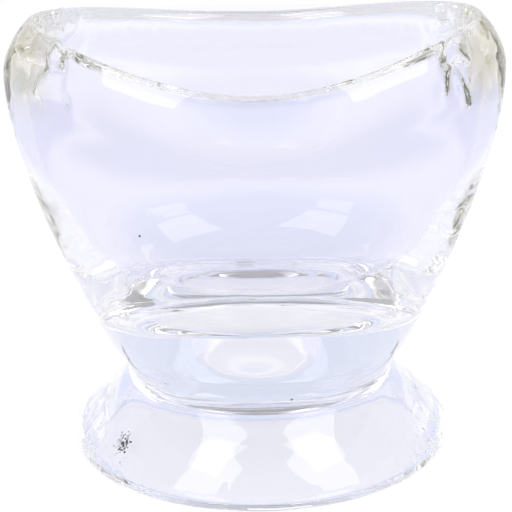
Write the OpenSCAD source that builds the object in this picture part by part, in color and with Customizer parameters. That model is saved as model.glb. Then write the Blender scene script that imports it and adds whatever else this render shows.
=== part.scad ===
// Eye bath: an oval glass bowl with a saddle-shaped rolled lip, on a solid stem and a
// flared hollow foot. The bowl, the stem and the foot are three gathers of glass that are
// fused hot, so they meet on a flat disc and on a flat ring, and share no volume.
// Origin: centre of the ring that the foot stands on. +Z is up, X runs from horn to horn,
// and the lip dips at the front (-Y) and at the back (+Y).

/* [Bowl] */
// Overall width across the two horns
bowl_width = 52; // [48:1:58]
// Overall depth from front to back
bowl_depth = 34; // [32:1:40]
// Height of the horns above the base
horn_height = 46.9; // [44:0.1:54]
// How far the lip dips between the horns
lip_dip = 3.9; // [2:0.1:6]
// How much the oval narrows towards the horns, where 0 is a plain ellipse
oval_taper = 0.25; // [0:0.01:0.3]

/* [Lip] */
// Thickness of the rolled lip at the horns
horn_lip = 4.2; // [3.6:0.1:5.4]
// Thickness of the rolled lip at the front and the back
side_lip = 3.2; // [2.6:0.1:3.6]
// Height over which the horns roll in towards the crest
horn_roll = 5.7; // [4:0.1:7.5]
// Height over which the front and the back roll in towards the crest
side_roll = 7; // [5:0.1:8]

/* [Cavity] */
// Wall of the bowl half way up
bowl_wall = 2.2; // [1.6:0.1:2.8]
// Height of the lowest point inside the bowl
floor_height = 14.3; // [13.8:0.1:17]
// Height at which the walls start to round in to the floor
rounding_height = 27; // [25:0.5:28]

/* [Stem] */
// Radius of the disc where the bowl is fused to the stem
seat_radius = 16.2; // [15.6:0.1:16.8]
// Height of that disc
seat_height = 12.5; // [12:0.1:13]
// Radius of the waist, where the stem is fused to the foot
waist_radius = 13.9; // [13.4:0.1:14.6]
// Height of the waist
waist_height = 8.4; // [7.5:0.1:9.5]
// Height over which the waist is rounded
waist_fillet = 0.8; // [0.4:0.1:1.2]

/* [Foot] */
// Radius of the foot
foot_radius = 20; // [18:0.1:22]
// Height of the upright edge of the foot
foot_edge = 1.5; // [0.8:0.1:1.8]
// Width of the ring that the foot stands on
foot_wall = 2.5; // [2:0.1:3]
// Height of the domed hollow under the foot
hollow_height = 10.4; // [9.5:0.1:11]

/* [Hidden] */

// Facets round the bowl, and rings along each stretch of its section
around = 64;
wall_rings = 12;
roll_rings = 6;
floor_rings = 7;
// Points along each turned curve
curve_points = 14;

crest_z_side = horn_height - lip_dip;
// The lip climbs to the horns faster than a plain cosine
horn_climb = 0.45;
// Share of the lip's thickness that lies outside its crest
crest_share = 0.67;
// The soft bevel outside the crest: how far out and down its rounding leads, and where the
// bevel aims above the shoulder, all as shares of the way from the crest to the shoulder
bevel_lead = 0.14;
bevel_dip = 0.01;
bevel_fall = 0.5;
// Height over which the inner edge rolls in from the crest
inner_roll_horn = 2.4;
inner_roll_side = 1.8;
// How far the cavity's walls swell out under the lip
swell_horn = 1.9;
swell_side = 0.7;
// How far below the inner edge that swell is widest, in thirds of the way to the rounding
swell_drop = 1.4;

// Slope of the stem's outside, which the bowl's outside takes up
seat_slope = (seat_radius - waist_radius) / (seat_height - waist_height);
// Heights over which the bowl's outside leaves the stem and reaches its shoulder
leave_horn = 6.7;
leave_side = 3.4;
reach_horn = 8.8;
reach_side = 11.6;

// Half sizes of the bowl's outside at the height where the cavity starts to round in
shell_half_width = 22.7;
shell_half_depth = 17.2;
// Half sizes of the cavity at that height, and how fast its walls close in below it
cavity_half_width = shell_half_width - bowl_wall;
cavity_half_depth = shell_half_depth - bowl_wall;
cavity_slope_horn = 0.42;
cavity_slope_side = 0.04;
cavity_taper = oval_taper / 4;
rounding = rounding_height - floor_height;

// How far out the cavity's floor spreads, as a share of its half width, and how far down its
// walls run before they turn in, as a share of the rounding
floor_reach_horn = 0.57;
floor_reach_side = 0.5;
wall_reach_horn = 0.93;
wall_reach_side = 0.6;

// The hollow's section: how it leaves the foot's ring, and how wide its dome spreads
hollow_rise = 4.5;
hollow_inset = 2;
dome_radius = 9.5;
stem_run = 1.2;
// Gap kept between the hollow's own points and the point where the waist cuts it
clearance = 0.1;

// The foot's skirt: how far it drops from the waist, and where it aims before its upright edge
skirt_drop = 1.6 * waist_fillet;
skirt_inset = 1.1;
skirt_rise = 2.1;

edge_chamfer = 0.25;

function bezier(a, b, c, d, t) =
    pow(1 - t, 3) * a + 3 * pow(1 - t, 2) * t * b + 3 * (1 - t) * t * t * c + pow(t, 3) * d;

// A value that is one thing at the horns and another at the front and the back
function blend(horn, side, angle) = side + (horn - side) * pow(cos(angle), 2);

// A point on an oval that narrows towards its ends
function oval(half_width, half_depth, angle, z, taper = 0) =
    [half_width * cos(angle), half_depth * sin(angle) * (1 - taper * pow(cos(angle), 2)), z];

function crest_z(angle) =
    let (c = pow(cos(angle), 2)) horn_height - lip_dip * (1 - c * (1 + horn_climb * (1 - c)));

function crest(angle) = oval(bowl_width / 2 - horn_lip * crest_share,
                             bowl_depth / 2 - side_lip * crest_share,
                             angle, crest_z(angle), oval_taper);

function shoulder(angle) = oval(bowl_width / 2, bowl_depth / 2, angle,
                                crest_z(angle) - blend(horn_roll, side_roll, angle), oval_taper);

function inner_edge(angle) = oval(bowl_width / 2 - horn_lip, bowl_depth / 2 - side_lip, angle,
                                  crest_z(angle) - blend(inner_roll_horn, inner_roll_side, angle),
                                  oval_taper);

function seat(angle) = oval(seat_radius, seat_radius, angle, seat_height);

function outside(angle, t) =
    let (leave = blend(leave_horn, leave_side, angle),
         reach = blend(reach_horn, reach_side, angle),
         start = seat(angle),
         left = oval(seat_radius + leave * seat_slope, seat_radius + leave * seat_slope,
                     angle, seat_height + leave),
         end = shoulder(angle))
    bezier(start, left, end - [0, 0, reach], end, t);

function outer_roll(angle, t) =
    let (top = crest(angle), low = shoulder(angle), way = low - top)
    bezier(low, [low[0], low[1], top[2] + way[2] * bevel_fall],
           top + [way[0] * bevel_lead, way[1] * bevel_lead, way[2] * bevel_dip], top, t);

function inner_roll(angle, t) =
    let (top = crest(angle), low = inner_edge(angle))
    [top[0] + (low[0] - top[0]) * sin(90 * t),
     top[1] + (low[1] - top[1]) * sin(90 * t),
     low[2] + (top[2] - low[2]) * cos(90 * t)];

// Level at which the cavity starts to round in, with its slope at a given distance below
function cavity(angle, drop) =
    oval(cavity_half_width - drop * cavity_slope_horn, cavity_half_depth - drop * cavity_slope_side,
         angle, rounding_height - drop, cavity_taper);

function inside(angle, t) =
    let (start = inner_edge(angle), fall = (start[2] - rounding_height) / 3,
         under = oval(bowl_width / 2 - horn_lip + swell_horn, bowl_depth / 2 - side_lip + swell_side,
                      angle, start[2] - fall * swell_drop, oval_taper))
    bezier(start, under, cavity(angle, -fall), cavity(angle, 0), t);

function basin(angle, t) =
    let (spread = blend(floor_reach_horn, floor_reach_side, angle),
         reach = blend(wall_reach_horn, wall_reach_side, angle))
    bezier(cavity(angle, 0), cavity(angle, rounding * reach),
           oval(cavity_half_width * spread, cavity_half_depth * spread, angle, floor_height),
           [0, 0, floor_height], t);

function curve(a, b, c, d) = [for (i = [0:curve_points]) bezier(a, b, c, d, i / curve_points)];

// Section of the hollow, from the ring that the foot stands on up to the middle of its dome
hollow = curve([foot_radius - foot_wall, edge_chamfer],
               [foot_radius - foot_wall - hollow_inset, hollow_rise],
               [dome_radius, hollow_height], [0, hollow_height]);
hollow_at_waist = [lookup(waist_height, [for (p = hollow) [p[1], p[0]]]), waist_height];

function ring(f) = [for (i = [0:around - 1]) f(360 * i / around)];

// Rings from the cavity's floor, over the lip and down the outside to the fused disc
module bowl() {
    rings = [
        for (j = [1:floor_rings]) ring(function (a) basin(a, 1 - j / floor_rings)),
        for (j = [1:wall_rings]) ring(function (a) inside(a, 1 - j / wall_rings)),
        for (j = [1:roll_rings]) ring(function (a) inner_roll(a, 1 - j / roll_rings)),
        for (j = [1:roll_rings]) ring(function (a) outer_roll(a, 1 - j / roll_rings)),
        for (j = [1:wall_rings]) ring(function (a) outside(a, 1 - j / wall_rings)),
    ];
    last = len(rings) - 1;
    points = concat([[0, 0, floor_height]], [for (r = rings) each r],
                    [[0, 0, seat_height]]);
    tip = len(points) - 1;
    function at(j, i) = 1 + j * around + i % around;
    faces = concat(
        [for (i = [0:around - 1]) [0, at(0, i + 1), at(0, i)]],
        [for (j = [0:last - 1], i = [0:around - 1], half = [0, 1])
            half == 0 ? [at(j, i), at(j, i + 1), at(j + 1, i)]
                      : [at(j, i + 1), at(j + 1, i + 1), at(j + 1, i)]],
        [for (i = [0:around - 1]) [tip, at(last, i), at(last, i + 1)]]);
    color("lavender", 0.4) polyhedron(points, faces, convexity = 6);
}

// The stem: solid, with the top of the foot's hollow let in to it
module stem() {
    seat_point = [seat_radius, seat_height];
    waist_point = [waist_radius, waist_height];
    run = (seat_point - waist_point) * stem_run / (seat_height - waist_height);
    color("aliceblue", 0.4)
    rotate_extrude($fn = 96)
    polygon(concat([[0, seat_height]],
                   curve(seat_point, seat_point - run, waist_point + [0, waist_fillet], waist_point),
                   [hollow_at_waist],
                   [for (p = hollow) if (p[1] > waist_height + clearance) p]));
}

// The foot: a trumpet-shaped skirt with an upright edge, round the rest of the hollow
module foot() {
    color("ghostwhite", 0.4)
    rotate_extrude($fn = 96)
    polygon(concat(curve([waist_radius, waist_height],
                         [waist_radius, waist_height - skirt_drop],
                         [foot_radius - skirt_inset, foot_edge + skirt_rise],
                         [foot_radius, foot_edge]),
                   [[foot_radius, edge_chamfer], [foot_radius - edge_chamfer, 0],
                    [foot_radius - foot_wall + edge_chamfer, 0]],
                   [for (p = hollow) if (p[1] < waist_height - clearance) p],
                   [hollow_at_waist]));
}

bowl();
stem();
foot();
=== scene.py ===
"""A clear glass eye bath: an oval bowl with a saddle-shaped rolled lip, on a solid stem and a hollow foot.

The bowl, the stem and the foot are rebuilt as smooth glass in the places that the CAD nodes hold. Their
sections follow the CAD's, worked out here in millimetres. The flat faces where two pieces are fused
are marked, and the glass lets light straight through them, as one body of glass does.
"""

import math

import bpy
import numpy as np
from mathutils import Matrix, Vector, noise


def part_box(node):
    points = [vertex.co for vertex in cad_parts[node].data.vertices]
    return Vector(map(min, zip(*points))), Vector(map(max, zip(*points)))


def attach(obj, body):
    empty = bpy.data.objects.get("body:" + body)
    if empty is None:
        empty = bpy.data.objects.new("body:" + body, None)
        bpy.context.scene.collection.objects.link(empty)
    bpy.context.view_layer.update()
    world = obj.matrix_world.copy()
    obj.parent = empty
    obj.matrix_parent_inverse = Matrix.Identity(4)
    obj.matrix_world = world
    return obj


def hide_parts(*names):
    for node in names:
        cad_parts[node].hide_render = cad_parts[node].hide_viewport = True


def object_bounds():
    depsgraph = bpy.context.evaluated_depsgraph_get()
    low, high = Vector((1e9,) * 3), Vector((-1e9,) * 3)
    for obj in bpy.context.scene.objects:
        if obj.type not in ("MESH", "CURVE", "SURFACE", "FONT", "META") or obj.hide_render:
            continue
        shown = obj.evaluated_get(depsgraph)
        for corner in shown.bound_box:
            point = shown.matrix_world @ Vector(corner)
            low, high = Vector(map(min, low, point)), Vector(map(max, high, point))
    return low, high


MM = 0.001

AROUND = 384
ANGLES = np.arange(AROUND) * 2 * math.pi / AROUND
COS = np.cos(ANGLES)
SIN = np.sin(ANGLES)

# The gap left between two fused faces, so that they are never the same plane
FUSE_GAP = 0.006
FUSED = "fused"
ASH = "ash"


# ---------------------------------------------------------------- sizes, in millimetres

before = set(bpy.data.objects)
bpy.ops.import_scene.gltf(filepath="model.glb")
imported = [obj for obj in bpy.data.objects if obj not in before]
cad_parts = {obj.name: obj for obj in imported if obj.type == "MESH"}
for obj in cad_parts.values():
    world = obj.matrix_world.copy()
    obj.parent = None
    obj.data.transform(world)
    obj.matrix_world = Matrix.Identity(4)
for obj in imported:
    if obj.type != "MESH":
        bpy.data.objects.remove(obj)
cad_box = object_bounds()


def box_mm(node):
    """Lowest and highest corners of a CAD node, in millimetres."""
    low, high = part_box(node)
    return low / MM, high / MM


def radius_at(node, height):
    """Largest radius of a CAD node's vertices at a height, in millimetres."""
    points = [v.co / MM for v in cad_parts[node].data.vertices]
    return max(p.xy.length for p in points if abs(p.z - height) < 0.05)


bowl_low, bowl_high = box_mm("bowl")
stem_low, stem_high = box_mm("stem")
foot_high = box_mm("foot")[1]

HALF_WIDTH = bowl_high.x
HORN_HEIGHT = bowl_high.z
SEAT_HEIGHT = bowl_low.z
SEAT_RADIUS = stem_high.x
WAIST_HEIGHT = stem_low.z
WAIST_RADIUS = radius_at("stem", WAIST_HEIGHT)
FOOT_RADIUS = foot_high.x

# The lip: its plan, its two thicknesses, and how far its outside and inside roll in to the crest
HALF_DEPTH = 17.0
LIP_DIP = 3.9
HORN_CLIMB = 0.45
OVAL_TAPER = 0.25
HORN_LIP = 4.2
SIDE_LIP = 3.2
CREST_SHARE = 0.67
HORN_ROLL = 5.7
SIDE_ROLL = 7.0
# How far the cavity's walls swell out under the lip, and how far below its edge they do
HORN_BULGE = 1.9
SIDE_BULGE = 0.7
BULGE_DROP = 1.4
# Heights over which the inner edge rolls in from the crest
INNER_ROLL_HORN = 2.4
INNER_ROLL_SIDE = 1.8
# Two points that shape the soft bevel outside the crest, as shares of the way to the shoulder
BEVEL_TOP = (0.14, 0.14, 0.01)
BEVEL_LOW = (1.0, 1.0, 0.5)

# The bowl's outside leaves the stem in line with it, and comes up to its shoulder upright
LEAVE_HORN = 6.7
LEAVE_SIDE = 3.4
REACH_HORN = 8.8
REACH_SIDE = 11.6

# The cavity, from where its walls start to round in down to its floor
WALL = 2.2
CAVITY_HALF_WIDTH = 22.7 - WALL
CAVITY_HALF_DEPTH = 17.2 - WALL
CAVITY_SLOPE_HORN = 0.42
CAVITY_SLOPE_SIDE = 0.04
CAVITY_TAPER = OVAL_TAPER / 4
ROUNDING_HEIGHT = 27.0
FLOOR_HEIGHT = 14.3
FLOOR_REACH_HORN = 0.57
FLOOR_REACH_SIDE = 0.5
BASIN_REACH_HORN = 0.93
BASIN_REACH_SIDE = 0.6

# The hollow under the foot, which reaches up into the stem. Its dome is a little flatter than the
# CAD's, with a small tip in the middle.
HOLLOW_TOP = 10.2
HOLLOW_RISE = 4.5
HOLLOW_INSET = 2.0
DOME_RADIUS = 9.5
TIP_RISE = 0.35
TIP_RADIUS = 2.6
# How near the waist the hollow's own points may come
CLEARANCE = 0.1

# The outside of the stem and the foot, with the rounded waist between them
STEM_RUN = 1.2
WAIST_FILLET = 0.8
SKIRT_DROP = 1.6 * WAIST_FILLET
SKIRT_INSET = 1.1
SKIRT_RISE = 2.1

# The upright edge of the foot and the ring that it stands on
FOOT_EDGE = 1.5
FOOT_WALL = 2.5
EDGE_CHAMFER = 0.25

# The vector noise starts from this seed, so that every run makes the same glass
NOISE_SEED = 11

# Slow waves and small ripples all over, which fade out near a fused face
WAVE = 0.05
WAVE_SIZE = 6.0
RIPPLE = 0.007
RIPPLE_SIZE = 1.7
STILL = (0.1, 1.2)

# Folds inside the horns, which fade in over these distances from the middle and these heights
FOLD = 1.7
FOLD_SIZE = 2.2
FOLD_REACH = 0.8
FOLD_OUT = (17.0, 21.0)
FOLD_UP = (36.0, 40.5)

# Rough marks along the inside of the lip at the back
RIM_MARK = 0.16
RIM_MARK_SIZE = 0.55
RIM_MARK_DROP = 0.4
RIM_MARK_REACH = 0.3
RIM_MARK_BACK = (4.0, 9.0)

# Flakes off the foot's edge, least at the front and back, and how far in from the edge they go
FLAKE = 0.9
FLAKE_SIZE = 2.6
CHIP_SIZE = 0.7
SINK_SIZE = 1.4
FLAKE_DROP = 0.3
FLAKE_LEAST = 0.12
FLAKE_WIDTH = 1.6

# A pitted spot on the foot with ash in it, and single specks of ash as centres and radii
SPOT = (-14.6, -9.9, 3.0)
SPOT_RADIUS = 1.6
SPOT_DEPTH = 0.3
PIT_SIZE = 0.45
ASH_SPREAD = 0.5
ASH_LEAST = 0.03
ASH_RANGE = 0.1
BOWL_SPECKS = (((-11.7, -13.2, 28.0), 0.12),)
STEM_SPECKS = (((3.1, -13.2, 9.9), 0.14),)
FOOT_SPECKS = 110

noise.seed_set(NOISE_SEED)


# ---------------------------------------------------------------- geometry


def bezier(a, b, c, d, count, skip_first=False):
    """Points along a cubic curve, as an array with the steps first."""
    steps = np.linspace(0, 1, count)[1 if skip_first else 0 :]
    a, b, c, d = (np.asarray(p, float) for p in (a, b, c, d))
    t = steps.reshape((-1,) + (1,) * max(p.ndim for p in (a, b, c, d)))
    return (1 - t) ** 3 * a + 3 * (1 - t) ** 2 * t * b + 3 * (1 - t) * t * t * c + t**3 * d


def blend(horn, side):
    """A value that is one thing at the horns and another at the front and the back."""
    return side + (horn - side) * COS**2


def oval(half_width, half_depth, height, taper=0.0):
    """A ring that narrows towards its ends. Each value may change round the ring."""
    return np.stack(
        [half_width * COS, half_depth * SIN * (1 - taper * COS**2), height + 0 * COS], axis=-1
    )


def quarter(start, end, count, upright_first):
    """Rings along a quarter of an ellipse between two rings, which is upright at one end."""
    turn = (np.linspace(0, 1, count)[1:] * math.pi / 2).reshape(-1, 1)
    flat, rise = (1 - np.cos(turn), np.sin(turn)) if upright_first else (np.sin(turn), 1 - np.cos(turn))
    shares = np.stack([flat + 0 * start[:, 0], flat + 0 * start[:, 0], rise + 0 * start[:, 0]], axis=-1)
    return start + (end - start) * shares


def lip_rings():
    """The crest of the lip, the shoulder outside it and the edge inside it."""
    side = SIN**2
    crest_height = HORN_HEIGHT - LIP_DIP * (1 - COS**2 * (1 + HORN_CLIMB * side))
    crest = oval(
        HALF_WIDTH - HORN_LIP * CREST_SHARE, HALF_DEPTH - SIDE_LIP * CREST_SHARE, crest_height, OVAL_TAPER
    )
    shoulder = oval(HALF_WIDTH, HALF_DEPTH, crest_height - blend(HORN_ROLL, SIDE_ROLL), OVAL_TAPER)
    edge = oval(
        HALF_WIDTH - HORN_LIP,
        HALF_DEPTH - SIDE_LIP,
        crest_height - blend(INNER_ROLL_HORN, INNER_ROLL_SIDE),
        OVAL_TAPER,
    )
    return crest, shoulder, edge


def cavity_ring(drop):
    """The cavity at a distance below the height where it starts to round in."""
    return oval(
        CAVITY_HALF_WIDTH - drop * CAVITY_SLOPE_HORN,
        CAVITY_HALF_DEPTH - drop * CAVITY_SLOPE_SIDE,
        ROUNDING_HEIGHT - drop,
        CAVITY_TAPER,
    )


def bowl_rings():
    """Rings from the cavity's floor, over the lip, down the outside and in under the bowl."""
    crest, shoulder, edge = lip_rings()
    rounding = ROUNDING_HEIGHT - FLOOR_HEIGHT
    floor = oval(0, 0, FLOOR_HEIGHT)
    spread = blend(FLOOR_REACH_HORN, FLOOR_REACH_SIDE)
    near_floor = oval(CAVITY_HALF_WIDTH * spread, CAVITY_HALF_DEPTH * spread, FLOOR_HEIGHT)
    low_wall = cavity_ring(rounding * blend(BASIN_REACH_HORN, BASIN_REACH_SIDE))
    basin = bezier(floor, near_floor, low_wall, cavity_ring(0), 40, skip_first=True)

    fall = ((edge[:, 2] - ROUNDING_HEIGHT) / 3)[:, None] * np.array([0, 0, 1])
    rise_horn = fall[:, 2] * CAVITY_SLOPE_HORN
    rise_side = fall[:, 2] * CAVITY_SLOPE_SIDE
    above = oval(
        CAVITY_HALF_WIDTH + rise_horn,
        CAVITY_HALF_DEPTH + rise_side,
        ROUNDING_HEIGHT + fall[:, 2],
        CAVITY_TAPER,
    )
    under_lip = oval(
        HALF_WIDTH - HORN_LIP + HORN_BULGE,
        HALF_DEPTH - SIDE_LIP + SIDE_BULGE,
        edge[:, 2] - fall[:, 2] * BULGE_DROP,
        OVAL_TAPER,
    )
    inside = bezier(cavity_ring(0), above, under_lip, edge, 40, skip_first=True)
    inner_roll = quarter(edge, crest, 16, upright_first=True)
    drop = shoulder - crest
    bevel = (crest + drop * BEVEL_TOP, crest + drop * BEVEL_LOW)
    outer_roll = bezier(crest, *bevel, shoulder, 32, skip_first=True)

    rise = SEAT_HEIGHT - WAIST_HEIGHT
    leave = blend(LEAVE_HORN, LEAVE_SIDE)
    seat = oval(SEAT_RADIUS, SEAT_RADIUS, SEAT_HEIGHT + FUSE_GAP)
    left = oval(
        SEAT_RADIUS + leave * (SEAT_RADIUS - WAIST_RADIUS) / rise,
        SEAT_RADIUS + leave * (SEAT_RADIUS - WAIST_RADIUS) / rise,
        SEAT_HEIGHT + leave,
    )
    reach = blend(REACH_HORN, REACH_SIDE)[:, None] * np.array([0, 0, 1])
    outside = bezier(shoulder, shoulder - reach, left, seat, 48, skip_first=True)

    return np.concatenate([basin, inside, inner_roll, outer_roll, outside])


def turned(profile):
    """Rings turned from a profile of radii and heights."""
    return np.stack([oval(radius, radius, height) for radius, height in profile])


def hollow_profile():
    """The hollow's section, as points below the waist and points above it."""
    inner_radius = FOOT_RADIUS - FOOT_WALL
    curve = bezier(
        (inner_radius, EDGE_CHAMFER),
        (inner_radius - HOLLOW_INSET, HOLLOW_RISE),
        (DOME_RADIUS, HOLLOW_TOP),
        (0, HOLLOW_TOP),
        80,
    )
    curve[:, 1] += TIP_RISE * np.exp(-((curve[:, 0] / TIP_RADIUS) ** 2))
    radius = float(np.interp(WAIST_HEIGHT, curve[:, 1], curve[:, 0]))
    below = [tuple(p) for p in curve if p[1] < WAIST_HEIGHT - CLEARANCE]
    above = [tuple(p) for p in curve[:-1] if p[1] > WAIST_HEIGHT + CLEARANCE]
    return below + [(radius, WAIST_HEIGHT - FUSE_GAP)], [(radius, WAIST_HEIGHT + FUSE_GAP)] + above


def stem_rings():
    """The solid neck, from its top edge down the outside, in at the waist and up in the hollow."""
    top, bottom = SEAT_HEIGHT - FUSE_GAP, WAIST_HEIGHT + FUSE_GAP
    part = STEM_RUN / (SEAT_HEIGHT - WAIST_HEIGHT)
    seat = oval(SEAT_RADIUS, SEAT_RADIUS, top)
    waist = oval(WAIST_RADIUS, WAIST_RADIUS, bottom)
    upright = waist + np.array([0, 0, WAIST_FILLET])
    down = bezier(seat, seat + (waist - seat) * part, upright, waist, 24)
    return np.concatenate([down, turned(hollow_profile()[1])]), {len(down) - 1}


def foot_rings():
    """The flared skirt, from the waist down outside, under its edge and up inside."""
    top = WAIST_HEIGHT - FUSE_GAP
    inner_radius = FOOT_RADIUS - FOOT_WALL
    outside = bezier(
        (WAIST_RADIUS, top),
        (WAIST_RADIUS, WAIST_HEIGHT - SKIRT_DROP),
        (FOOT_RADIUS - SKIRT_INSET, FOOT_EDGE + SKIRT_RISE),
        (FOOT_RADIUS, FOOT_EDGE),
        28,
    )
    edge = [
        (FOOT_RADIUS, FOOT_EDGE * 0.6),
        (FOOT_RADIUS, EDGE_CHAMFER),
        (FOOT_RADIUS - EDGE_CHAMFER, 0),
        (FOOT_RADIUS - FOOT_WALL / 2, 0),
        (inner_radius + EDGE_CHAMFER, 0),
    ]
    profile = [tuple(p) for p in outside] + edge + hollow_profile()[0]
    return turned(profile), {len(profile) - 1}


def smooth_step(low, high, value):
    """0 below the low value, 1 above the high one, and a soft curve between them."""
    t = np.clip((value - low) / (high - low), 0, 1)
    return t * t * (3 - 2 * t)


def noise_at(points, size, seed, vector=False):
    """Noise at points in millimetres, as one value or one vector each."""
    shift = Vector((seed * 17.3, seed * 5.1, seed * 9.7))
    source = noise.noise_vector if vector else noise.noise
    return np.array([source(Vector(p) / size + shift) for p in points.reshape(-1, 3)])


def hand_made(rings, seed):
    """The slow waves of hand-worked glass, none of them where two pieces are fused."""
    points = rings.reshape(-1, 3)
    waves = noise_at(points, WAVE_SIZE, seed, vector=True) * WAVE
    waves += noise_at(points, RIPPLE_SIZE, seed + 1, vector=True) * RIPPLE
    height = points[:, 2]
    still = smooth_step(*STILL, abs(height - SEAT_HEIGHT))
    still *= smooth_step(*STILL, abs(height - WAIST_HEIGHT))
    return (points + waves * still[:, None]).reshape(rings.shape)


def lumpy_horns(rings):
    """Folds in the glass inside the two horns, where the lip was rolled over."""
    points = rings.reshape(-1, 3)
    horn_edge = lip_rings()[2]
    outer = np.tile(np.linalg.norm(horn_edge[:, :2], axis=1), len(rings)) + FOLD_REACH
    inside = 1 - smooth_step(-0.4, 0.4, np.linalg.norm(points[:, :2], axis=1) - outer)
    horn = smooth_step(*FOLD_OUT, abs(points[:, 0])) * smooth_step(*FOLD_UP, points[:, 2])
    folds = noise_at(points, FOLD_SIZE, 60, vector=True) * (FOLD * horn * inside)[:, None]
    return (points + folds).reshape(rings.shape)


def rough_rim(rings):
    """A line of small rough marks along the inside of the lip at the back."""
    edge = lip_rings()[2]
    points = rings.reshape(-1, 3)
    mark_height = np.tile(edge[:, 2], len(rings)) - RIM_MARK_DROP
    reach = np.tile(np.linalg.norm(edge[:, :2], axis=1), len(rings)) + RIM_MARK_REACH
    inside = np.linalg.norm(points[:, :2], axis=1) < reach
    near = 1 - smooth_step(0.2, 0.7, abs(points[:, 2] - mark_height))
    back = smooth_step(*RIM_MARK_BACK, points[:, 1])
    marks = noise_at(points, RIM_MARK_SIZE, 40, vector=True) * (RIM_MARK * near * back * inside)[:, None]
    return (points + marks).reshape(rings.shape)


def chipped(rings):
    """The foot's edge: flaky at the left and right, and uneven all round."""
    points = rings.reshape(-1, 3)
    radius = np.linalg.norm(points[:, :2], axis=1)
    rim = points * np.array([1, 1, 0]) / radius[:, None] * FOOT_RADIUS
    sides = FLAKE_LEAST + (1 - FLAKE_LEAST) * (abs(points[:, 0]) / radius) ** 4
    flakes = np.clip(noise_at(rim, FLAKE_SIZE, 50), 0, 1) * 0.9
    flakes += np.clip(noise_at(rim, CHIP_SIZE, 51) - 0.05, 0, 1) * 0.9
    at_edge = smooth_step(FOOT_RADIUS - FLAKE_WIDTH, FOOT_RADIUS, radius)
    shrink = 1 - FLAKE * flakes * sides * at_edge / radius
    upper = smooth_step(0.3, FOOT_EDGE, points[:, 2]) * at_edge
    sunk = np.clip(noise_at(rim, SINK_SIZE, 52) + 0.2, 0, 1) * FLAKE_DROP * sides * upper
    moved = points * np.stack([shrink, shrink, np.ones(len(radius))], axis=-1)
    moved[:, 2] -= sunk
    spot = 1 - smooth_step(0.4, SPOT_RADIUS, np.linalg.norm(points - np.array(SPOT), axis=1))
    pits = noise_at(points, PIT_SIZE, 53, vector=True) * (SPOT_DEPTH * spot)[:, None]
    return (moved + pits).reshape(rings.shape)


def speck(centre, radius):
    """Points and faces of a tiny ball of ash caught in the glass."""
    turns, levels = 10, 6
    points = [(centre[0], centre[1], centre[2] + radius)]
    for j in range(1, levels):
        a = math.pi * j / levels
        for i in range(turns):
            b = 2 * math.pi * i / turns
            out = radius * math.sin(a)
            x, y = centre[0] + out * math.cos(b), centre[1] + out * math.sin(b)
            points.append((x, y, centre[2] + radius * math.cos(a)))
    points.append((centre[0], centre[1], centre[2] - radius))
    last = len(points) - 1
    faces = [(0, 1 + i, 1 + (i + 1) % turns) for i in range(turns)]
    for j in range(levels - 2):
        here, there = 1 + j * turns, 1 + (j + 1) * turns
        for i in range(turns):
            k = (i + 1) % turns
            faces.append((here + i, there + i, there + k, here + k))
    faces += [(last, here + turns + (i + 1) % turns, here + turns + i) for i in range(turns)]
    return points, faces


def ash_spot():
    """Specks of ash scattered just under the foot's rough spot."""
    generator = np.random.default_rng(7)
    place = np.array(SPOT)
    outward = place * np.array([1, 1, 0]) / np.linalg.norm(place[:2])
    along = np.cross(outward, (0, 0, 1))
    specks = []
    for across, up, size in generator.normal(0, ASH_SPREAD, (FOOT_SPECKS, 3)):
        slope = outward * 0.6 * up
        centre = place - outward * 0.45 + along * across - slope + np.array([0, 0, up])
        specks.append((tuple(centre), ASH_LEAST + ASH_RANGE * abs(size)))
    return specks


def mesh_of(name, rings, fused_after=(), poles=(), fused_poles=(0.0, 0.0), specks=()):
    """A closed mesh from rings of points in millimetres.

    With two poles, the first and last ring close on them; otherwise the last ring joins the first.
    fused_after holds the rings whose next strip of faces is a fused face.
    """
    count = len(rings)
    low, high = np.array(cad_box[0]), np.array(cad_box[1])
    points = [tuple(p) for p in np.clip(rings.reshape(-1, 3) * MM, low, high)]
    faces = []
    marks = []
    strips = count - 1 if poles else count
    for j in range(strips):
        here, there = j * AROUND, (j + 1) % count * AROUND
        for i in range(AROUND):
            k = (i + 1) % AROUND
            faces.append((here + i, there + i, there + k, here + k))
            marks.append(float(j in fused_after))
    if poles:
        first, last = len(points), len(points) + 1
        points += [tuple(p * MM for p in pole) for pole in poles]
        end = (count - 1) * AROUND
        for i in range(AROUND):
            k = (i + 1) % AROUND
            faces += [(first, i, k), (last, end + k, end + i)]
            marks += fused_poles
    ash = [0.0] * len(faces)
    for centre, radius in specks:
        more_points, more_faces = speck(centre, radius)
        faces += [tuple(len(points) + i for i in face) for face in more_faces]
        points += [tuple(c * MM for c in p) for p in more_points]
        marks += [0.0] * len(more_faces)
        ash += [1.0] * len(more_faces)
    mesh = bpy.data.meshes.new(name)
    mesh.from_pydata(points, [], faces)
    mesh.attributes.new(ASH, "FLOAT", "FACE").data.foreach_set("value", ash)
    mesh.attributes.new(FUSED, "FLOAT", "FACE").data.foreach_set("value", marks)
    mesh.polygons.foreach_set("use_smooth", [True] * len(faces))
    mesh.update()
    sharpen(mesh, marks)
    piece = bpy.data.objects.new(name, mesh)
    bpy.context.scene.collection.objects.link(piece)
    return piece


def sharpen(mesh, marks):
    """Keeps the rim of each fused face sharp, so that the walls beside it stay smooth."""
    touching = {}
    for face in mesh.polygons:
        for key in face.edge_keys:
            touching.setdefault(key, []).append(marks[face.index])
    sharp = [len(set(touching[tuple(sorted(e.vertices))])) > 1 for e in mesh.edges]
    mesh.attributes.new("sharp_edge", "BOOLEAN", "EDGE").data.foreach_set("value", sharp)


# ---------------------------------------------------------------- materials

TINT_COOL = (0.908, 0.912, 0.97, 1)
TINT_WARM = (0.925, 0.92, 0.965, 1)
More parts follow.
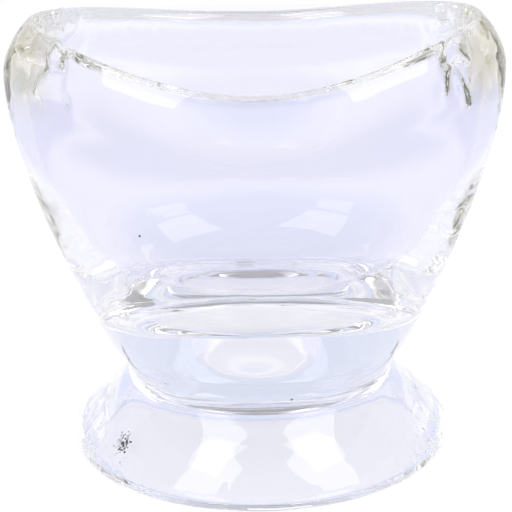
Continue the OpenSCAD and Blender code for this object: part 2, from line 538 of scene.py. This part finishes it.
# Olive towards the horns, over these distances from the middle and these heights
TINT_HORN = (0.77, 0.74, 0.57, 1)
HORN_TINT_FROM = 19.5
HORN_TINT_TO = 24.0
HORN_TINT_LOW = 37.0
HORN_TINT_HIGH = 42.0
ABSORPTION = 2.4
DEPTH_COLOUR = (0.5, 0.47, 0.05, 1)
ASH_COLOUR = (0.08, 0.075, 0.07, 1)
IOR = 1.5
HAZE = 0.03
SPOT_HAZE = 0.6
# Scales of the noise in the tint, the haze and the bump, in cycles per metre
TINT_SCALE = 90.0
HAZE_SCALE = 260.0
BUMP_SCALE = 1500.0
FLOOR_GLOW = 0.79
WHITE = (0.97, 0.97, 1.0, 1)
LILAC = (0.78, 0.78, 0.91, 1)
PALE_LILAC = (0.82, 0.82, 0.9, 1)
# A painted shadow: the floor's glow is made darker and bluer in a disc behind the cup, where its shadow
# would fall
SHADE = (0.79, 0.82, 0.94, 1)
# How far back the middle is, start and end of the fade, squeeze across, colours inside and outside
FLOOR_SHADES = (
    (0.05, 0.13, 0.2, 2.6, WHITE, LILAC),
    (0.124, 0.03, 0.06, 1.2, PALE_LILAC, WHITE),
    (0.04, 0.014, 0.038, 1.7, SHADE, WHITE),
)


def value_between(nodes, links, source, from_low, from_high, to_low, to_high):
    """A value mapped from one range to another."""
    span = nodes.new("ShaderNodeMapRange")
    span.interpolation_type = "SMOOTHSTEP"
    span.inputs["From Min"].default_value = from_low
    span.inputs["From Max"].default_value = from_high
    span.inputs["To Min"].default_value = to_low
    span.inputs["To Max"].default_value = to_high
    links.new(source, span.inputs["Value"])
    return span.outputs["Result"]


def noise_texture(nodes, links, place, scale, detail):
    """Noise in the object's own space, with a scale in cycles per metre."""
    texture = nodes.new("ShaderNodeTexNoise")
    texture.inputs["Scale"].default_value = scale
    texture.inputs["Detail"].default_value = detail
    links.new(place, texture.inputs["Vector"])
    return texture.outputs["Fac"]


def masked(nodes, links, attribute, below, above):
    """One shader, and another one where a face attribute is set."""
    mask = nodes.new("ShaderNodeAttribute")
    mask.attribute_name = attribute
    mix = nodes.new("ShaderNodeMixShader")
    links.new(mask.outputs["Fac"], mix.inputs["Fac"])
    links.new(below, mix.inputs[1])
    links.new(above, mix.inputs[2])
    return mix.outputs[0]


def glass_material():
    """Clear glass with a faint lilac cast that drifts a little, olive at the horns and in depth."""
    material = bpy.data.materials.new("hand_made_glass")
    material.use_nodes = True
    nodes, links = material.node_tree.nodes, material.node_tree.links
    nodes.clear()
    output = nodes.new("ShaderNodeOutputMaterial")
    place = nodes.new("ShaderNodeTexCoord").outputs["Object"]
    glass = nodes.new("ShaderNodeBsdfPrincipled")
    glass.inputs["Transmission Weight"].default_value = 1.0
    glass.inputs["IOR"].default_value = IOR

    drift = nodes.new("ShaderNodeMixRGB")
    drift.inputs["Color1"].default_value = TINT_COOL
    drift.inputs["Color2"].default_value = TINT_WARM
    links.new(noise_texture(nodes, links, place, TINT_SCALE, 1.0), drift.inputs["Fac"])

    split = nodes.new("ShaderNodeSeparateXYZ")
    links.new(place, split.inputs[0])
    aside = nodes.new("ShaderNodeMath")
    aside.operation = "ABSOLUTE"
    links.new(split.outputs["X"], aside.inputs[0])
    out = value_between(nodes, links, aside.outputs[0], HORN_TINT_FROM * MM, HORN_TINT_TO * MM, 0.0, 1.0)
    up = value_between(nodes, links, split.outputs["Z"], HORN_TINT_LOW * MM, HORN_TINT_HIGH * MM, 0.0, 1.0)
    at_horn = nodes.new("ShaderNodeMath")
    at_horn.operation = "MULTIPLY"
    links.new(out, at_horn.inputs[0])
    links.new(up, at_horn.inputs[1])
    olive = nodes.new("ShaderNodeMixRGB")
    olive.inputs["Color2"].default_value = TINT_HORN
    links.new(at_horn.outputs[0], olive.inputs["Fac"])
    links.new(drift.outputs[0], olive.inputs["Color1"])
    links.new(olive.outputs[0], glass.inputs["Base Color"])

    away = nodes.new("ShaderNodeVectorMath")
    away.operation = "DISTANCE"
    away.inputs[1].default_value = [c * MM for c in SPOT]
    links.new(place, away.inputs[0])
    spot = value_between(nodes, links, away.outputs["Value"], 0.3 * MM, SPOT_RADIUS * MM, SPOT_HAZE, 0.0)
    cloud = noise_texture(nodes, links, place, HAZE_SCALE, 4.0)
    haze = value_between(nodes, links, cloud, 0.5, 0.8, 0.0, HAZE)
    total = nodes.new("ShaderNodeMath")
    total.operation = "ADD"
    links.new(spot, total.inputs[0])
    links.new(haze, total.inputs[1])
    links.new(total.outputs[0], glass.inputs["Roughness"])

    bump = nodes.new("ShaderNodeBump")
    bump.inputs["Strength"].default_value = 0.08
    bump.inputs["Distance"].default_value = 0.02 * MM
    links.new(noise_texture(nodes, links, place, BUMP_SCALE, 3.0), bump.inputs["Height"])
    links.new(bump.outputs[0], glass.inputs["Normal"])

    clear = nodes.new("ShaderNodeBsdfTransparent")
    ash = nodes.new("ShaderNodeBsdfDiffuse")
    ash.inputs["Color"].default_value = ASH_COLOUR
    fused = masked(nodes, links, FUSED, glass.outputs[0], clear.outputs[0])
    links.new(masked(nodes, links, ASH, fused, ash.outputs[0]), output.inputs["Surface"])

    depth = nodes.new("ShaderNodeVolumeAbsorption")
    depth.inputs["Color"].default_value = DEPTH_COLOUR
    depth.inputs["Density"].default_value = ABSORPTION
    links.new(depth.outputs[0], output.inputs["Volume"])
    return material


def floor_material():
    """A pale matt floor, white near the cup, lilac further out, with a soft blue shade behind the cup."""
    material = bpy.data.materials.new("pale_floor")
    material.use_nodes = True
    nodes, links = material.node_tree.nodes, material.node_tree.links
    surface = nodes["Principled BSDF"]
    surface.inputs["Base Color"].default_value = (0.35, 0.35, 0.35, 1)
    surface.inputs["Roughness"].default_value = 0.9
    surface.inputs["Specular IOR Level"].default_value = 0.0
    surface.inputs["Emission Strength"].default_value = FLOOR_GLOW
    place = nodes.new("ShaderNodeTexCoord").outputs["Object"]
    colour = None
    for back, near, far, squeeze, inner, outer in FLOOR_SHADES:
        squeezed = nodes.new("ShaderNodeVectorMath")
        squeezed.operation = "MULTIPLY"
        squeezed.inputs[1].default_value = (squeeze, 1, 0)
        links.new(place, squeezed.inputs[0])
        away = nodes.new("ShaderNodeVectorMath")
        away.operation = "DISTANCE"
        away.inputs[1].default_value = (0, back, 0)
        links.new(squeezed.outputs[0], away.inputs[0])
        fade = value_between(nodes, links, away.outputs["Value"], near, far, 0.0, 1.0)
        mix = nodes.new("ShaderNodeMixRGB")
        mix.inputs["Color1"].default_value = inner
        mix.inputs["Color2"].default_value = outer
        links.new(fade, mix.inputs["Fac"])
        if colour:
            links.new(colour, mix.inputs["Color2"])
        colour = mix.outputs[0]
    links.new(colour, surface.inputs["Emission Color"])
    return material


# ---------------------------------------------------------------- the object

glass = glass_material()
bowl = mesh_of(
    "bowl_glass",
    hand_made(rough_rim(lumpy_horns(bowl_rings())), 3),
    specks=BOWL_SPECKS,
    poles=((0, 0, FLOOR_HEIGHT), (0, 0, SEAT_HEIGHT + FUSE_GAP)),
    fused_poles=(0.0, 1.0),
)
stem_points, stem_fused = stem_rings()
stem = mesh_of(
    "stem_glass",
    hand_made(stem_points, 3),
    stem_fused,
    specks=STEM_SPECKS,
    poles=((0, 0, SEAT_HEIGHT - FUSE_GAP), (0, 0, HOLLOW_TOP + TIP_RISE)),
    fused_poles=(1.0, 0.0),
)
foot_points, foot_fused = foot_rings()
foot = mesh_of("foot_glass", hand_made(chipped(foot_points), 3), foot_fused, specks=ash_spot())

for piece, node in ((bowl, "bowl"), (stem, "stem"), (foot, "foot")):
    piece.data.materials.append(glass)
    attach(piece, "root")
    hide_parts(node)


# ---------------------------------------------------------------- stage, light and camera


def cove(radius, bend, height):
    """A round pale floor whose edge curves up into a low wall, all round."""
    profile = [(0, 0), (radius - bend, 0)]
    steps = 12
    for i in range(1, steps + 1):
        turn = math.pi / 2 * i / steps
        profile.append((radius - bend + bend * math.sin(turn), bend - bend * math.cos(turn)))
    profile.append((radius, height))
    segments = 96
    points = [(0, 0, 0)]
    for r, z in profile[1:]:
        for i in range(segments):
            turn = 2 * math.pi * i / segments
            points.append((r * math.cos(turn), r * math.sin(turn), z))
    faces = [(0, 1 + i, 1 + (i + 1) % segments) for i in range(segments)]
    for j in range(len(profile) - 2):
        for i in range(segments):
            k = (i + 1) % segments
            low, high = 1 + j * segments, 1 + (j + 1) * segments
            faces.append((low + i, high + i, high + k, low + k))
    mesh = bpy.data.meshes.new("floor")
    mesh.from_pydata(points, [], faces)
    mesh.polygons.foreach_set("use_smooth", [True] * len(faces))
    mesh.update()
    floor = bpy.data.objects.new("floor", mesh)
    bpy.context.scene.collection.objects.link(floor)
    floor.data.materials.append(floor_material())


def softbox(name, azimuth, width, power):
    """An area lamp that looks at the object from an azimuth, where 0 is straight in front."""
    lamp = bpy.data.lights.new(name, "AREA")
    lamp.shape = "RECTANGLE"
    lamp.size = width
    lamp.size_y = SOFTBOX_HEIGHT
    lamp.energy = power
    holder = bpy.data.objects.new(name, lamp)
    a, e = math.radians(azimuth), math.radians(SOFTBOX_ELEVATION)
    holder.location = SOFTBOX_DISTANCE * Vector(
        (math.sin(a) * math.cos(e), -math.cos(a) * math.cos(e), math.sin(e))
    )
    holder.rotation_euler = holder.location.to_track_quat("Z", "Y").to_euler()
    bpy.context.scene.collection.objects.link(holder)


COVE_RADIUS = 0.75
COVE_BEND = 0.3
COVE_HEIGHT = 0.5
SOFTBOX_POWER = 0.62
SOFTBOX_DISTANCE = 0.5
SOFTBOX_ELEVATION = 47
SOFTBOX_HEIGHT = 0.34
# The panel stands behind the cup and is as wide as an angle seen from the cup; it has dark edging
PANEL_DISTANCE = 0.48
PANEL_ANGLE = 47.0
EDGE_WIDTH = 0.035
EDGE_START = 0.09
PANEL_HEIGHT = 0.48
PANEL_LOW = 0.002
PANEL_COLOUR = (0.72, 0.77, 0.91, 1)
EDGE_COLOUR = (0.1, 0.1, 0.11, 1)


def plain_material(name, colour, glow):
    """A matt surface that also gives off an even light of its own colour."""
    material = bpy.data.materials.new(name)
    material.use_nodes = True
    surface = material.node_tree.nodes["Principled BSDF"]
    surface.inputs["Base Color"].default_value = (0.1, 0.1, 0.1, 1)
    surface.inputs["Roughness"].default_value = 0.9
    surface.inputs["Specular IOR Level"].default_value = 0.0
    surface.inputs["Emission Color"].default_value = colour
    surface.inputs["Emission Strength"].default_value = glow
    return material


def panel(name, left, right, low, material):
    """An upright panel behind the table, between two distances from its middle."""
    y, high = PANEL_DISTANCE, PANEL_HEIGHT
    points = [(left, y, low), (right, y, low), (right, y, high), (left, y, high)]
    mesh = bpy.data.meshes.new(name)
    mesh.from_pydata(points, [], [(0, 1, 2, 3)])
    mesh.update()
    board = bpy.data.objects.new(name, mesh)
    bpy.context.scene.collection.objects.link(board)
    board.data.materials.append(material)


half = PANEL_DISTANCE * math.tan(math.radians(PANEL_ANGLE))
panel("back_panel", -half, half, PANEL_LOW, plain_material("pale_blue_board", PANEL_COLOUR, 1.0))
dark_edge = plain_material("dark_edging", EDGE_COLOUR, 1.0)
panel("panel_edge_left", -half - EDGE_WIDTH, -half, EDGE_START, dark_edge)
panel("panel_edge_right", half, half + EDGE_WIDTH, EDGE_START, dark_edge)

# The world's light, from the horizon up to straight overhead
HORIZON = (0.84, 0.84, 0.96, 1)
ZENITH = (0.4, 0.39, 0.35, 1)

cove(COVE_RADIUS, COVE_BEND, COVE_HEIGHT)
softbox("left_softbox", -44, 0.21, SOFTBOX_POWER * 0.9)
softbox("right_softbox", 53, 0.23, SOFTBOX_POWER)

world = bpy.data.worlds.new("studio")
bpy.context.scene.world = world
world.use_nodes = True
world_nodes, world_links = world.node_tree.nodes, world.node_tree.links
direction = world_nodes.new("ShaderNodeTexCoord")
split = world_nodes.new("ShaderNodeSeparateXYZ")
sky = world_nodes.new("ShaderNodeValToRGB")
sky.color_ramp.elements[0].position = 0.2
sky.color_ramp.elements[0].color = HORIZON
sky.color_ramp.elements[1].position = 0.95
sky.color_ramp.elements[1].color = ZENITH
world_links.new(direction.outputs["Generated"], split.inputs[0])
world_links.new(split.outputs["Z"], sky.inputs["Fac"])
world_links.new(sky.outputs["Color"], world_nodes["Background"].inputs["Color"])

CAMERA_DISTANCE = 300.0
CAMERA_ELEVATION = math.radians(21.27)
CAMERA_ROLL = math.radians(1.05)
TARGET = Vector((-0.23, 0, 20.32)) * MM
LENS = 198.7
# Light crosses many glass faces on its way through the cup
BOUNCES = 48

camera = bpy.data.objects.new("camera", bpy.data.cameras.new("camera"))
camera.data.lens = LENS
camera.data.sensor_width = 36
camera.data.clip_start = 0.01
away = Vector((0, -math.cos(CAMERA_ELEVATION), math.sin(CAMERA_ELEVATION)))
camera.location = TARGET + away * CAMERA_DISTANCE * MM
aim = away.to_track_quat("Z", "Y").to_matrix() @ Matrix.Rotation(-CAMERA_ROLL, 3, "Z")
camera.rotation_euler = aim.to_euler()
bpy.context.scene.collection.objects.link(camera)
bpy.context.scene.camera = camera

bpy.context.scene.view_settings.view_transform = "Standard"
bpy.context.scene.cycles.max_bounces = BOUNCES
bpy.context.scene.cycles.transmission_bounces = BOUNCES
bpy.context.scene.cycles.glossy_bounces = BOUNCES
bpy.context.scene.cycles.transparent_max_bounces = BOUNCES
